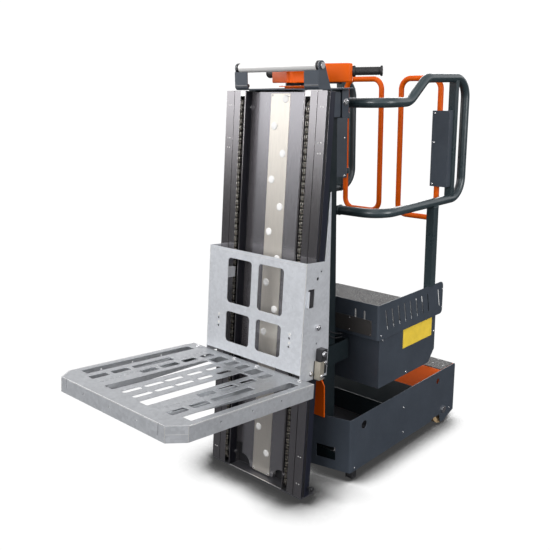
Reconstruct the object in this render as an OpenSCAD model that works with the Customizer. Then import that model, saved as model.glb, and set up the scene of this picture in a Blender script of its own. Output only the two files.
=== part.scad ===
// Order picker: battery base, telescopic lift, operator cage and a leaning
// front mast with a folding load tray. Dimensions in millimetres.
// +Z is up, the load tray faces -Y, the operator enters from +Y.

/* [Base] */
// Overall width of the base
base_w = 670; // [600:5:760]
// Height of the top edge of the base
base_top = 300; // [260:5:340]
// Rear end of the base, measured from the foot of the front mast
base_rear = 1141; // [1050:1:1250]
// Radius of the rear drive wheels
wheel_r = 75; // [60:1:90]
// Radius of the front caster wheels
caster_r = 20; // [18:1:22]

/* [Front mast] */
// Backward lean of the front mast, in degrees
lean = 5.6; // [0:0.1:8]
// Half width of the front mast
mast_hw = 272; // [240:1:300]
// Length of the front mast
mast_h = 1658; // [1400:1:1900]
// Depth of the centre panel behind the mast front
panel_d = 42; // [30:1:60]
// Chain sprocket radius
sprocket_r = 36; // [30:1:38]

/* [Load tray] */
// Half width of the tray
tray_hw = 356; // [280:1:380]
// Front edge of the tray, in front of the mast
tray_front = 767; // [600:1:850]
// Height of the tray top along the mast
tray_z = 542; // [500:1:580]
// Depth of the tray edge
tray_edge = 59; // [40:1:80]

/* [Cage] */
// Height of the platform floor
floor_z = 646; // [600:1:700]
// Half width of the platform
plat_hw = 335; // [300:1:380]
// Radius of the guard rail tube
rail_r = 20; // [16:0.5:24]
// Height of the lower guard rail
rail_low = 1162; // [1100:1:1250]
// Height of the front part of the upper guard rail
rail_top = 1616; // [1500:1:1650]
// Height of the raised part of the upper guard rail
rail_high = 1712; // [1650:1:1800]
// Radius of the gate tube
gate_r = 13; // [10:0.5:16]

/* [Lift] */
// Outer half width of the fixed lift mast
lift_hw = 170; // [150:1:180]
// Height of the fixed lift mast
lift_h = 1560; // [1400:10:1600]

/* [Node] */
// Sub-part to draw

/* [Hidden] */
$fn = 48;
yc = 212.4;
foot = 20;

module mx() { children(); mirror([1,0,0]) children(); }
module P() { translate([0,-yc,0]) children(); }
module M() { P() translate([0,0,foot]) rotate([-lean,0,0]) children(); }
module box(x0,x1,y0,y1,z0,z1) { translate([x0,y0,z0]) cube([x1-x0,y1-y0,z1-z0]); }
module rr(w,h,r) {
  square([w-2*r,h],center=true);
  square([w,h-2*r],center=true);
  for (i=[-1,1],j=[-1,1]) translate([i*(w/2-r),j*(h/2-r)]) circle(r);
}
module bar(w,l) { square([w,l-w],center=true); for (j=[-1,1]) translate([0,j*(l-w)/2]) circle(w/2); }
// extrusion along X of a profile drawn as (y,z)
module yz(x0,x1) { translate([x0,0,0]) rotate([90,0,90]) linear_extrude(x1-x0) children(); }
// extrusion along Y of a profile drawn as (x,z)
module xz(y0,y1) { translate([0,y1,0]) rotate([90,0,0]) linear_extrude(y1-y0) children(); }
module pipe2(r,t) { difference() { circle(r); circle(r-t); } }
module pz(r,t,l) { linear_extrude(l) pipe2(r,t); }
// bend lying in the XY plane, centre at the origin, from angle a0 over a
module bend(R,r,t,a0,a) { rotate([0,0,a0]) rotate_extrude(angle=a) translate([R,0]) pipe2(r,t); }
// chassis -----------------------------------------------------------------
module chassis_frame() { color("darkorange") P() {
  mx() {
    difference() { yz(262,266) polygon([[900,60],[1132,60],[1132,292],[1010,292],[740,160],[740,60]]);
      translate([255,1040,wheel_r]) rotate([0,90,0]) cylinder(h=20,r=12.6); }
    xz(204.5,210.5) polygon([[128,302],[228,302],[228,446],[214,470],[128,470]]);
    box(128,134,216,274.9,60,300);
    box(128,134,209,274.9,302,470);
    box(128,134,216,274.9,299,303);
    difference() { box(128,332,262,334,60,66); translate([308,292,40]) cylinder(h=40,r=9.06); }
    box(314,332,330,745,60,66);
    box(328,332,740,900,60,250);
  }
  box(-262,262,1128,1132,60,292);
  box(-262,262,262,268,60,118);
  yz(-332,332) polygon([[1010,292],[1137,292],[1137,296],[1008,296],[738,164],[740,160]]);
  box(-266,266,736,740.1,60,161);
}}
module floor_pan() { color("dimgray") P() difference() {
  box(-332,332,262,1134,55,60);
  for (s=[-1,1]) { translate([s*299,1040,50]) cube([74,180,30],center=true); translate([s*192,1040,50]) cube([130,86,30],center=true); translate([s*308,292,40]) cylinder(h=30,r=9.06); }
}}
module panel() {
  yz(base_w/2-3,base_w/2) difference() {
    union() {
      polygon([[262,50],[925,50],[935,60],[1004,60],[1016,12],[1050,12],[base_rear,43],[base_rear,base_top-12],[base_rear-12,base_top-12],[base_rear-12,base_top],[262,base_top]]);
      translate([base_rear-12,base_top-12]) circle(12);
    }
    translate([354,248]) circle(19);
    translate([975,250]) circle(14);
    translate([1040,wheel_r]) circle(12.6);
  }
  // rounded front corner and the front plate, turned 12 degrees inwards
  translate([base_w/2-9,262,50]) difference() {
    linear_extrude(base_top-50) polygon(concat(
      [for (i=[0:6]) [9*cos(13*i),-9*sin(13*i)]],
      [[9*cos(78)-235*cos(12),-9*sin(78)-235*sin(12)],[6*cos(78)-235*cos(12),-6*sin(78)-235*sin(12)]],
      [for (i=[6:-1:0]) [6*cos(13*i),-6*sin(13*i)]]));
    rotate([0,0,12]) translate([-158,-20,44]) cube([93,30,62]);
  }
}
module side_panel_right() { color("slategray") P() panel(); }
module side_panel_left() { color("slategray") mirror([1,0,0]) P() panel(); }
module rear_deck_mat() { color("gray") P() translate([0,1074,296]) linear_extrude(3.5) difference() { rr(652,118,6);
  for (s=[-1,1],p=[[250,-6],[306,-6],[250,48]]) translate([s*p[0],p[1]]) circle(4.3); } }
module battery_pack() { color("black") P() for (s=[-1,1]) {
  box(min(s*8,s*250),max(s*8,s*250),745,905,60,150);
  box(min(s*8,s*250),max(s*8,s*250),915,990,60,245);
  for (k=[40,215]) { translate([s*k,952,245]) cylinder(h=10,r=9); translate([s*k,780,150]) cylinder(h=10,r=9); } } }
module drive_motors() { color("dimgray") P() mx() { translate([130,1040,wheel_r]) rotate([0,90,0]) cylinder(h=100,r=42);
  translate([230,1040,wheel_r]) rotate([0,90,0]) cylinder(h=25.9,r=30); box(140,220,990.5,1092,60,64); } }
module outer_mast() { color("darkslategray") P() {
  mx() difference() { box(120,lift_hw,275,350,66,lift_h); box(115,lift_hw-5,280,345,65,lift_h+1); }
  box(-119.9,119.9,275,279,64,180);
  box(36,50,278,321,150,180);
  box(-119.9,119.9,275,279,1460,lift_h);
  mx() box(112,120,275,279,64,180);
  mx() box(112,120,275,279,1460,lift_h);
} }
module panel_screws() { color("silver") P() mx() {
  for (p=[[667,218],[669,91]]) translate([base_w/2,p[0],p[1]]) rotate([0,90,0]) cylinder(h=1.6,r=4);
  for (p=[[250,1068],[306,1068],[250,1122]]) translate([p[0],p[1],296]) cylinder(h=3.5,r=4);
} }
module wheel(x0) { translate([x0,1040,wheel_r]) rotate([0,90,0]) difference() {
  union() { cylinder(h=46,r=wheel_r); translate([0,0,-6]) cylinder(h=58,r=20); }
  translate([0,0,-7]) cylinder(h=60,r=12.05);
  for (z=[-1,37]) translate([0,0,z]) difference() { cylinder(h=10,r=54); translate([0,0,-1]) cylinder(h=12,r=26); }
} }
module rear_wheel_right() { color("tan") P() wheel(274); }
module rear_wheel_left() { color("tan") P() wheel(-320); }
module rear_axles() { color("silver") P() mx() { translate([256,1040,wheel_r]) rotate([0,90,0]) cylinder(h=base_w/2-256,r=12);
  translate([base_w/2,1040,wheel_r]) rotate([0,90,0]) cylinder(h=6,r=18);
  translate([256,1040,wheel_r]) rotate([0,90,0]) cylinder(h=6,r=14.5); } }
module fork() {
  difference() { translate([-17,-14,42]) cube([34,36,7.5]); }
  for (s=[-1,1]) { translate([s*15.5,9,caster_r]) rotate([0,90,0]) cylinder(h=3,r=10,center=true);
    translate([s*15.5-1.5,-12,8]) cube([3,33,34.5]); }
  translate([0,9,caster_r]) rotate([0,90,0]) cylinder(h=40,r=5,center=true);
  translate([0,0,49]) cylinder(h=22,r=9);
}
module caster_fork_right() { color("black") P() translate([308,292,0]) fork(); }
module caster_fork_left() { color("black") P() translate([-308,292,0]) fork(); }
module cwheel() { translate([0,9,caster_r]) rotate([0,90,0]) difference() { cylinder(h=24,r=caster_r,center=true); cylinder(h=30,r=5.06,center=true); } }
module caster_wheel_right() { color("dimgray") P() translate([308,292,0]) cwheel(); }
module caster_wheel_left() { color("dimgray") P() translate([-308,292,0]) cwheel(); }
module lift_cylinder() { color("black") P() translate([0,312,60.2]) difference() { union() { cylinder(h=1060,r=28); cylinder(h=14,r=32); translate([0,0,1040]) cylinder(h=24,r=32); }
  translate([0,0,60]) cylinder(h=1100,r=16.06); } }
// inner lift stage ----------------------------------------------------------
module inner_mast() { color("silver") P() {
  mx() difference() { box(74,116,282,343,75,1545); box(70,111,287,338,74,1546); }
  difference() { box(-74,74,300,325,1520,1545); translate([0,312,1500]) cylinder(h=40,r=16); }
  box(30,34,300,372,1470,1520); box(30,34,300,325,1519,1521);
  box(52,56,300,372,1470,1520); box(52,56,300,325,1519,1521);
  translate([30,348,1495]) rotate([0,90,0]) cylinder(h=26,r=8);
} }
module inner_slides() { color("white") P() mx() for (z=[90,260]) box(116,164.5,280.3,344.7,z,z+90); }
module lift_rod() { color("silver") P() translate([0,312,150]) cylinder(h=1390,r=16); }
module chain_sheave() { color("gray") P() translate([37,348,1495]) rotate([0,90,0]) difference() { cylinder(h=12,r=30);
  translate([0,0,-1]) cylinder(h=20,r=8.06); } }
module lift_chain() { color("black") P() {
  box(39,47,316,317.6,180.3,1495); box(39,47,378.4,380,640.3,1495);
  translate([39,348,1495]) rotate([90,0,90]) linear_extrude(8) difference() { circle(32); circle(30.4); translate([-40,-40]) square([80,40]); } } }
// cage ------------------------------------------------------------------------
function backy(z) = 82*cos(lean)+(z-foot+82*sin(lean))*tan(lean);
module carriage_frame() { color("darkslategray") P() {
  box(37,49,378.6,394.1,612,640);
  mx() {
    difference() { box(80,110,400,430,380,1672); box(83,107,403,427,379,1673); }
    box(60,66,300,400,400,640);
    box(-0.1,60.1,394,400,600,640);
    box(60,110,394,400,400,640);
    box(80,110,430,468,560,608);
    box(104,110,430,472,1142,1182);
    yz(180,186) polygon([[backy(1560),1560],[396,1560],[396,1672],[backy(1672),1672]]);
    box(104,110,430,472,1596,1636);
    box(110,186,390,396,1590,1672);
    box(104,110,390,402,1590,1672);
    box(178,184,140,430,500,590);
    box(110,178,424,430,500,590);
    yz(178,226) polygon([[backy(500),500],[148,500],[148,590],[backy(590),590]]);
  }
} }
module carriage_slides() { color("white") P() mx() for (z=[405,567]) box(66,110.5,287.3,337.7,z,z+70); }
module rail2d() { difference() { union() {
    translate([228,0]) square([44,50]);
    translate([160,0]) square([4,82]);
    translate([160,78]) square([70,4]);
    translate([190,0]) square([34,4]);
    translate([220,0]) square([4,8]);
    translate([220,5]) square([10,4]);
    translate([226,40]) square([4,42]);
  }
  translate([231,3]) square([37,44]);
  translate([268,4]) square([6,14]);
} }
module mrail() { difference() { linear_extrude(mast_h) rail2d();
  for (z=[52,mast_h-66]) translate([150,38,z]) rotate([0,90,0]) cylinder(h=20,r=9.04);
  for (z=[52,mast_h-66]) translate([200,38,z]) rotate([0,90,0]) cylinder(h=32,r=9.04); } }
module mast_rail_right() { color("silver") M() difference() { mrail(); translate([264,42,631]) rotate([0,90,0]) cylinder(h=12,r=6.5); } }
module mast_rail_left() { color("silver") mirror([1,0,0]) M() mrail(); }
module centre_panel() { color("silver") M() difference() { union() {
    translate([-118,panel_d,8]) cube([236,4,mast_h-10]);
    for (s=[-1,1]) { translate([s*120-2,panel_d,8]) cube([4,36,mast_h-10]); translate([s>0?122:-159.9,panel_d+32,8]) cube([37.9,4,mast_h-10]); } }
  for (s=[-1,1]) translate([s*118,panel_d-1,8]) rotate([-90,0,0]) cylinder(h=60,r=48); } }
module face_plate() { color("gainsboro") M() translate([-51,panel_d-2,6]) difference() { cube([102,2,mast_h-14]);
  for (x=[8,94],z=[8,mast_h-22]) translate([x,-1,z]) rotate([-90,0,0]) cylinder(h=5,r=2.5); } }
module plate_caps() { color("white") M() for (k=[0:14]) translate([(k%2==0?27:-27),panel_d-2,106+108.8*k]) rotate([90,0,0]) cylinder(h=2.2,r=16); }
module mast_foot_plate() { color("dimgray") M() { translate([-272,0,-6]) cube([544,84,6]); } }
module head_plate() { color("slategray") P() {
  difference() { box(-226,226,175,438,1672,1677); translate([0,290,1660]) cylinder(h=40,r=14.06); mx() box(120,230,397,440,1670,1680); }
  mx() {
    box(154,226,164,168.5,1683,1745);
    yz(154,226) polygon([[164,1683],[174,1672],[182,1672],[182,1677],[176,1677],[168.5,1685],[164,1685]]);
    difference() { yz(222,226) union() { polygon([[168,1676],[240,1676],[203,1768],[168,1752]]); translate([185,1761]) circle(19); }
      translate([215,185,1761]) rotate([0,90,0]) cylinder(h=20,r=8.04); }
    yz(186.2,224) polygon([[backy(1600),1600],[backy(1600)+6,1600],[backy(1672)+6,1672],[backy(1672),1672]]);
  } } }
module tray_chains() { color("black") M() mx() {
  for (y=[-1.5,73.5]) translate([177,y,52]) cube([10,4,mast_h-118]);
  for (z=[52,mast_h-66]) translate([177,38,z]) rotate([90,0,90]) linear_extrude(10) difference() { circle(39.5); circle(35.5); translate([-50,(z<100?0:-50)]) square([100,50]); }
} }
module sprocket_pins() { color("silver") M() mx() for (z=[52,mast_h-66]) translate([155,38,z]) rotate([0,90,0]) cylinder(h=74,r=9); }
module sprocket(z) { translate([176,38,z]) rotate([0,90,0]) difference() { union() { translate([0,0,3]) cylinder(h=6,r=sprocket_r-1.2); translate([0,0,-6]) cylinder(h=22,r=17); }
  translate([0,0,-8]) cylinder(h=30,r=9.06); for (k=[0:4]) rotate([0,0,k*72]) translate([25,0,-1]) cylinder(h=20,r=4.5); } }
module sprocket_top_right() { color("dimgray") M() sprocket(mast_h-66); }
module sprocket_top_left() { color("dimgray") mirror([1,0,0]) M() sprocket(mast_h-66); }
module sprocket_bottom_right() { color("dimgray") M() sprocket(52); }
module sprocket_bottom_left() { color("dimgray") mirror([1,0,0]) M() sprocket(52); }
module platform_box() { color("slategray") P() difference() {
  yz(-325,325) polygon([[468,376],[886,376],[938,435],[938,floor_z-6],[468,floor_z-6]]);
  yz(-322,322) polygon([[471,379],[884.6,379],[935,436.2],[935,floor_z-5],[471,floor_z-5]]);
} }
module platform_deck() { color("slategray") P() translate([0,(445+965)/2,floor_z-6]) linear_extrude(6) rr(664,520,30); }
module platform_mat() { color("gray") P() translate([0,(446+965)/2,floor_z]) linear_extrude(4) difference() { rr(604,506,20);
  for (s=[-1,1],y=[-225,-75,75,225]) translate([s*288,y]) circle(4.3); } }
module slot2(y,z0,z1,w) { polygon([[y-9-w/2,z1],[y-9+w/2,z1],[y+9+w/2,z0],[y+9-w/2,z0]]); }
module toe_guard() { color("slategray") P() { mx() {
  yz(plat_hw-3,plat_hw) difference() {
    union() { translate([451,609]) square([504,161]); translate([955,629]) square([25,116]); translate([955,745]) circle(25); translate([960,629]) circle(20); translate([940,609]) square([20,30]);}
    for (k=[0:7]) slot2(507+48.7*k,646,736,8); slot2(945,651,736,8);
    translate([467,628]) circle(3);
  }
  translate([plat_hw-9,451,609]) rotate([0,0,-90]) rotate_extrude(angle=90) translate([6,0]) square([3,161]);
  }
  difference() { box(-(plat_hw-9),plat_hw-9,442,445,609,770);
    for (s=[-1,1],x=[212,261]) translate([s*x,450,692]) rotate([90,0,0]) linear_extrude(20) bar(10,84); }
} }
module blank_plates() { color("dimgray") P() {
  box(61,301,440.4,442,624,696);
  box(plat_hw-10,plat_hw-8.6,656,903,513,605);
} }
module guard(s) {
  yr=1115; Rb=92; Rc=100; xr=325; t=2.5; yf=452;
  for (z=[rail_low,rail_top]) {
    x0=110;
    translate([s>0?x0:Rc-xr,yf,z]) rotate([0,90,0]) pz(rail_r,t,xr-Rc-x0);
    translate([s*(xr-Rc),yf+Rc,z]) bend(Rc,rail_r,t,(s>0?-90:180),90);
  }
  translate([s*xr,0,0]) {
    translate([0,yf+Rc,rail_low]) rotate([-90,0,0]) pz(rail_r,t,yr-Rb-yf-Rc);
    translate([0,yr-Rb,rail_low+Rb]) rotate([0,90,0]) bend(Rb,rail_r,t,0,90);
    translate([0,yr,rail_low+Rb]) pz(rail_r,t,rail_high-rail_low-2*Rb);
    translate([0,yr-Rb,rail_high-Rb]) rotate([0,90,0]) bend(Rb,rail_r,t,90,90);
    // the rise follows a 3-4-5 slope
    a=36.8699; R=90; y0=612; L=(rail_high-rail_top-36)/0.6;
    translate([0,yf+Rc,rail_top]) rotate([-90,0,0]) pz(rail_r,t,y0-yf-Rc);
    translate([0,y0,rail_top+R]) rotate([0,90,0]) bend(R,rail_r,t,0,a);
    translate([0,y0+54,rail_top+18]) rotate([a-90,0,0]) pz(rail_r,t+0.3,L);
    y1=y0+108+L*0.8;
    translate([0,y1,rail_high-R]) rotate([0,90,0]) bend(R,rail_r,t,180,a);
    translate([0,y1,rail_high]) rotate([-90,0,0]) pz(rail_r,t,yr-Rb-y1);
  }
}
module posts() {
  difference() { box(306,344,848,888,floor_z+4,rail_low); box(309,341,851,885,0,2000);
    translate([325,800,rail_low]) rotate([-90,0,0]) cylinder(h=150,r=rail_r-0.6);
    box(332,350,840,900,0,770); }
  difference() { box(305,341,1000,1026,rail_low,rail_high); box(308,338,1003,1023,1000,1900);
    for (z=[rail_low,rail_high]) translate([325,900,z]) rotate([-90,0,0]) cylinder(h=300,r=rail_r-0.6); }
  for (z=[1240,1520]) difference() { union() { translate([gx,gy,z]) cylinder(h=30,r=gate_r+4); box(gx,303,gy-6,gy+6,z,z+30); box(299,305,gy-6,1020,z,z+30); }
    translate([gx,gy,z-1]) cylinder(h=32,r=gate_r+0.08); }
}
module guard_rail_right() { color("darkslategray") P() { guard(1); posts(); } }
module guard_rail_left() { color("darkslategray") P() { guard(-1); mirror([1,0,0]) posts(); } }
module hinge_covers() { color("darkslategray") P() mx() difference() { union() { box(245,333,966,968,1221,1568); box(331,333,968,1000,1221,1568); box(305.1,331,998,1000,1221,1568); }
   for (z=[1232,1424,1556]) translate([258,960,z]) rotate([-90,0,0]) cylinder(h=10,r=3); } }
gx = 269;
gy = 990;
module gate() { R=50; t=2; x0=57; z0=1066; z1=1712; w=gx-x0;
  rotate([90,0,0]) {
    for (x=[0,-w]) translate([x,z0+R,0]) rotate([-90,0,0]) pz(gate_r,t,z1-z0-2*R);
    for (z=[z0,z1]) translate([-w+R,z,0]) rotate([0,90,0]) pz(gate_r,t,w-2*R);
    translate([-R,z0+R,0]) bend(R,gate_r,t,-90,90);
    translate([-R,z1-R,0]) bend(R,gate_r,t,0,90);
    translate([-w+R,z1-R,0]) bend(R,gate_r,t,90,90);
    translate([-w+R,z0+R,0]) bend(R,gate_r,t,180,90);
  }
  for (z=[1238.2,1270.3,1518.2,1550.3]) translate([0,0,z]) difference() { cylinder(h=1.5,r=gate_r+3); translate([0,0,-1]) cylinder(h=5,r=gate_r-1); }
}
module gate_right() { color("darkorange") P() translate([gx,gy,0]) gate(); }
module gate_left() { color("darkorange") mirror([1,0,0]) P() translate([gx,gy,0]) gate(); }
module rail_clamps() { color("slategray") P() mx() {
  difference() { translate([186,371,1615]) rotate([90,0,90]) linear_extrude(12) rr(44,112,5); translate([180,371,1620]) rotate([0,90,0]) cylinder(h=30,r=5); }
  translate([186,319,1613]) rotate([90,0,90]) linear_extrude(8) rr(48,98,8);
} }
module cage_screws() { color("silver") P() mx() {
  translate([198,371,1620]) rotate([0,90,0]) cylinder(h=7,r=10);
  for (p=[[492,600],[691,388],[925,527]]) translate([325,p[0],p[1]]) rotate([0,90,0]) cylinder(h=2.4,r=5);
  translate([208,200,1677]) cylinder(h=7,r=10);
  for (y=[-225,-75,75,225]) translate([288,(446+965)/2+y,floor_z]) cylinder(h=4,r=4);
  for (z=[1232,1424,1556]) translate([258,966,z]) rotate([90,0,0]) cylinder(h=2,r=5);
} }
module steering_base() { color("darkorange") P() translate([0,290,1677]) difference() { union() { cylinder(h=7,r=45); translate([0,0,7]) cylinder(h=3,r=68); } translate([0,0,-1]) cylinder(h=20,r=14.06); } }
module roller_axle() { color("silver") P() translate([-229,185,1761]) rotate([0,90,0]) { cylinder(h=458,r=8); translate([0,0,-3]) cylinder(h=6,r=12); translate([0,0,455]) cylinder(h=6,r=12); } }
module top_roller() { color("silver") P() translate([-221,185,1761]) rotate([0,90,0]) difference() { cylinder(h=442,r=19); translate([0,0,12]) cylinder(h=418,r=16); translate([0,0,-1]) cylinder(h=450,r=8.06); } }
module arm() { rotate([0,0,30]) translate([0,-36,1699]) difference() { cube([235,72,74]); translate([4,3,-1]) cube([227,66,72]); } }
module handlebar() { color("darkorange") P() translate([0,290,0]) { difference() { union() { mx() arm(); }
      translate([0,0,1698]) cylinder(h=72,r=34); }
  difference() { translate([0,0,1687.4]) union() { cylinder(h=82.7,r=32); translate([0,0,82]) cylinder(h=2,r=30);} translate([0,0,1600]) cylinder(h=87.5,r=14); }
  translate([0,0,1660]) cylinder(h=30,r=14);
  mx() rotate([0,0,30]) translate([230,0,1741]) rotate([0,90,0]) cylinder(h=122,r=11);
} }
module handle_grips() { color("black") P() translate([0,290,0]) mx() rotate([0,0,30]) translate([235.2,0,1741]) rotate([0,90,0]) difference() { union() { cylinder(h=12,r=21); cylinder(h=118,r=15); translate([0,0,112]) cylinder(h=8,r=20); }
  translate([0,0,-1]) cylinder(h=130,r=11); } }
// tray ----------------------------------------------------------------------
module tray_apron() { color("silver") M() {
  difference() { translate([-276,-60,550]) cube([552,3,453]);
    for (s=[-1,1]) { translate([s*89.5,-40,867]) rotate([90,0,0]) linear_extrude(40) rr(141,194,16);
      translate([s*89.5,-40,664]) rotate([90,0,0]) linear_extrude(40) rr(141,134,16);
      for (z=[690,655]) translate([s*206,-40,z]) rotate([90,0,0]) cylinder(h=40,r=5); } }
  mx() {
    yz(273.2,276.2) difference() { polygon([[-60,560],[-60,1003],[30,1003],[52,1003],[58,1276],[62,1278],[66,1240],[110,642],[110,520],[-36,520],[-36,486],[-60,486],[-60,519],[-93,519],[-93,537],[-60,537]]);
        translate([12,937]) circle(7); translate([32,965]) circle(4); translate([30,669]) circle(4);
        translate([-23,860]) rr(40,76,5); translate([-80,528]) circle(6.0); translate([42,631]) circle(6.1); }
    translate([276.2,-46,826]) cube([10,3,66]);
    translate([-0.1,-66.5,488]) cube([273.4,12,18]);
    for (z=[600,900]) translate([230.3,50.3,z]) cube([43,18,60]);
    for (z=[700,960]) translate([268.3,5,z]) cube([5,12,40]);
    translate([174,-57.1,872]) cube([20,55.2,44]);
  }
} }
module tray_lock_block() { color("dimgray") M() { difference() { yz(276.2,306) translate([50,597]) rr(36,102,4);
  translate([270,42,631]) rotate([0,90,0]) cylinder(h=60,r=6.06); translate([270,20,540]) cube([9.2,60,60]); }
  yz(276.2,279.2) translate([48,558]) rr(52,78,3);
  translate([276.2,22,519]) cube([26,52,3]); } }
module tray_pins() { color("silver") M() { mx() { translate([266,-80,528]) rotate([0,90,0]) cylinder(h=19,r=6);
  translate([284.5,-80,528]) rotate([0,90,0]) cylinder(h=3,r=9); translate([264,-80,528]) rotate([0,90,0]) cylinder(h=4,r=9); }
  mx() translate([276.2,28,737]) rotate([0,90,0]) cylinder(h=8,r=12); } }
module load_tray() { color("silver") M() {
  difference() {
    union() {
      difference() {
        translate([0,0,tray_z-tray_edge]) linear_extrude(tray_edge) polygon([[-tray_hw,-68],[-tray_hw,-tray_front+62],[-tray_hw+46,-tray_front],[tray_hw-46,-tray_front],[tray_hw,-tray_front+62],[tray_hw,-68]]);
        translate([0,0,tray_z-tray_edge-1]) linear_extrude(tray_edge-2) polygon([[-tray_hw+3,-60],[-tray_hw+3,-tray_front+63],[-tray_hw+48,-tray_front+3],[tray_hw-48,-tray_front+3],[tray_hw-3,-tray_front+63],[tray_hw-3,-60]]);
      }
      mx() yz(277.5,281.5) polygon([[-92,tray_z-1],[-68.5,tray_z-1],[-68.5,518],[-92,518]]);
      mx() translate([172,-690,tray_z]) rotate([0,0,-5.13]) { for (x=[-45,42]) translate([x,0,-31]) cube([3,592,30]); translate([-45,0,-31]) cube([90,592,3]); }
      difference() { translate([-tray_hw+1,-71,tray_z-56]) cube([2*tray_hw-2,3,55]); mx() translate([262,-72,tray_z-57]) cube([28,5,54]); }
    }
    for (s=[-1,1]) {
      for (p=[[-645,88],[-545,88],[-448,88],[-343,76],[-243,76]]) translate([s*31,p[0],tray_z-10]) linear_extrude(20) bar(25,p[1]);
      translate([s*31,-140,tray_z-10]) linear_extrude(20) rr(38,66,5);
      translate([s*103,-447.5,tray_z-10]) linear_extrude(20) rr(52,505,5);
      translate([s*103,-147,tray_z-10]) linear_extrude(20) rr(55,76,5);
      for (p=[[-150,66],[-247.5,75],[-355,90],[-460,80]]) translate([s*172,p[0],tray_z-5]) linear_extrude(10) rr(36,p[1],6);
      for (p=[[-390,200],[-550,80],[-650,80]]) translate([s*235,p[0],tray_z-5]) linear_extrude(10) rr(36,p[1],6);
      translate([s*305,-399,tray_z-10]) linear_extrude(20) rr(47,546,5);
      translate([s*279.5,-80,528]) rotate([0,90,0]) cylinder(h=10,r=6.06,center=true);
      translate([s*275,-tray_front,tray_z-20]) cube([3,10,42],center=true);
      for (x=[0,158]) translate([s*x,-tray_front-1,tray_z-28]) rotate([-90,0,0]) cylinder(h=6,r=3.5);
      for (y=[-560,-406,-254]) translate([s*tray_hw,y,tray_z-24]) rotate([0,90,0]) cylinder(h=12,r=3.5,center=true);
      for (x=[66,300]) translate([s*x,-90,tray_z-10]) cylinder(h=20,r=4.06);
      translate([-tray_hw-1,-105,tray_z-0.5]) cube([2*tray_hw+2,37.5,2]);
      translate([s*274.5-2.7,-97,tray_z-5]) cube([5.4,30,10]);
    }
  }
} }
module tray_bolts() { color("silver") M() mx() for (x=[66,300]) translate([x,-90,tray_z]) { translate([0,0,-12]) cylinder(h=12,r=4); translate([0,0,-0.5]) cylinder(h=6,r=8); translate([0,0,-9]) cylinder(h=6,r=7); } }
module latch_plunger() { color("white") M() { translate([274,42,631]) rotate([0,90,0]) cylinder(h=40,r=6); translate([308,42,631]) rotate([0,90,0]) cylinder(h=12,r=11); } }
chassis_frame();
floor_pan();
side_panel_right();
side_panel_left();
rear_deck_mat();
battery_pack();
drive_motors();
outer_mast();
panel_screws();
rear_wheel_right();
rear_wheel_left();
rear_axles();
caster_fork_right();
caster_fork_left();
caster_wheel_right();
caster_wheel_left();
lift_cylinder();
inner_mast();
inner_slides();
lift_rod();
chain_sheave();
lift_chain();
carriage_frame();
carriage_slides();
mast_rail_right();
mast_rail_left();
centre_panel();
face_plate();
plate_caps();
mast_foot_plate();
head_plate();
tray_chains();
sprocket_pins();
sprocket_top_right();
sprocket_top_left();
sprocket_bottom_right();
sprocket_bottom_left();
platform_box();
platform_deck();
platform_mat();
toe_guard();
blank_plates();
guard_rail_right();
guard_rail_left();
hinge_covers();
rail_clamps();
cage_screws();
steering_base();
roller_axle();
top_roller();
handlebar();
handle_grips();
gate_right();
gate_left();
tray_apron();
tray_lock_block();
tray_pins();
load_tray();
tray_bolts();
latch_plunger();
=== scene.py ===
import bpy, bmesh, math, random
from mathutils import Vector, Matrix, noise


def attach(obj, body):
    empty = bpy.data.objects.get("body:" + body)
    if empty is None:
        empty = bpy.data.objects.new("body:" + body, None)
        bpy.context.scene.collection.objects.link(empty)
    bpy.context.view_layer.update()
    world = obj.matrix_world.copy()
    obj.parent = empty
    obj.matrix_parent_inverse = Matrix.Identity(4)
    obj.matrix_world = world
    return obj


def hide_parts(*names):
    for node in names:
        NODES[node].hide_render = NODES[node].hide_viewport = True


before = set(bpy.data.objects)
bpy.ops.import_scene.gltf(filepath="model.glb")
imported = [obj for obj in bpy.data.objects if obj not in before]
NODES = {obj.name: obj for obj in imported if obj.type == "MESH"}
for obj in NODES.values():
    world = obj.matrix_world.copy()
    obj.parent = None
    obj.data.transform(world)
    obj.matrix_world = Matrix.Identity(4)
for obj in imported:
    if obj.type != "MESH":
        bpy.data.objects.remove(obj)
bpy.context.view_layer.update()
random.seed(7)
YC = 0.2124
S, C = math.sin(math.radians(5.6)), math.cos(math.radians(5.6))


def P(x, y, z):
    """machine millimetres to row metres"""
    return Vector((x / 1000, y / 1000 - YC, z / 1000))


def M(x, y, z):
    """mast millimetres (leaning frame) to row metres"""
    return Vector((x / 1000, (y * C + z * S) / 1000 - YC, (20 - y * S + z * C) / 1000))


# camera ---------------------------------------------------------------------
def make_camera():
    az, el, roll = math.radians(43.0), math.radians(14.94), math.radians(-0.75)
    back = Vector((math.sin(az) * math.cos(el), -math.cos(az) * math.cos(el), math.sin(el)))
    fwd = -back
    right = fwd.cross(Vector((0, 0, 1))).normalized()
    up = right.cross(fwd)
    r = math.cos(roll) * right + math.sin(roll) * up
    u = -math.sin(roll) * right + math.cos(roll) * up
    cam = bpy.data.objects.new("camera", bpy.data.cameras.new("camera"))
    bpy.context.scene.collection.objects.link(cam)
    m = Matrix((r, u, back)).transposed().to_4x4()
    m.translation = Vector((2.0191, -2.0133 - YC, 1.700))
    cam.matrix_world = m
    cam.data.sensor_width = 36
    cam.data.lens = 36 * 720.2 / 550
    cam.data.clip_end = 60
    bpy.context.scene.camera = cam


make_camera()


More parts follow.
